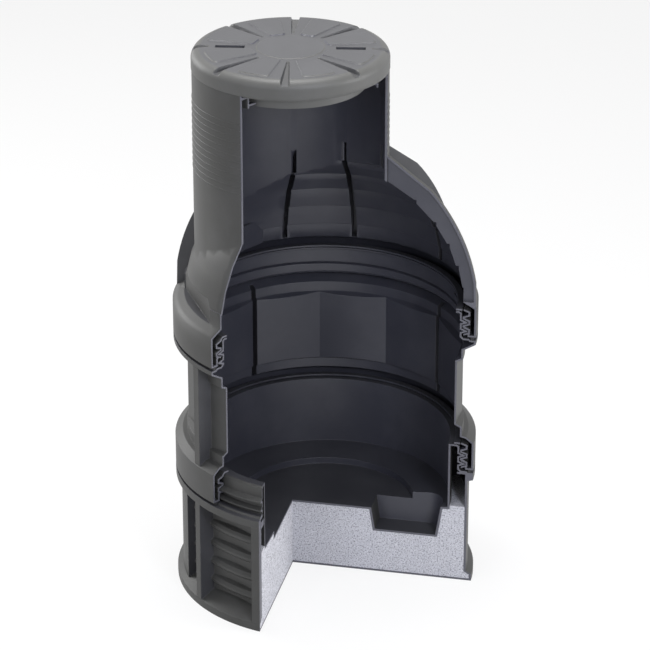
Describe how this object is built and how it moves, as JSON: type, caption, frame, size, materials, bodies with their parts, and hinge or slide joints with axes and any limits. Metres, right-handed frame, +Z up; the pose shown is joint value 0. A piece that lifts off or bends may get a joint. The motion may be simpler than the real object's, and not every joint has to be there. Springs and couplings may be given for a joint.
{
  "type": "plastic manhole",
  "caption": "Sectioned inspection chamber: ballasted base, threaded riser ring, domed cone with off-centre neck, and a plain grooved cover.",
  "frame": {"origin": "where the chamber's axis meets the underside of the foot", "axes": "+Z up along the chamber's axis, -X towards the neck, the quarter and the wedge are cut away towards -Y"},
  "size_m": [1.154, 1.1387, 2.142],
  "materials": {
    "chamber_plastic": "moulded, satin",
    "cover_plastic": "moulded, matte",
    "ballast": "sawn concrete",
    "seal_rubber": "matte"
  },
  "bodies": {
    "root": {"base_shell": "chamber_plastic", "concrete_ballast": "ballast", "lower_joint_seal": "seal_rubber", "riser_ring": "chamber_plastic", "upper_joint_seal": "seal_rubber", "cone_with_neck": "chamber_plastic", "cover": "cover_plastic"}
  },
  "joints": []
}
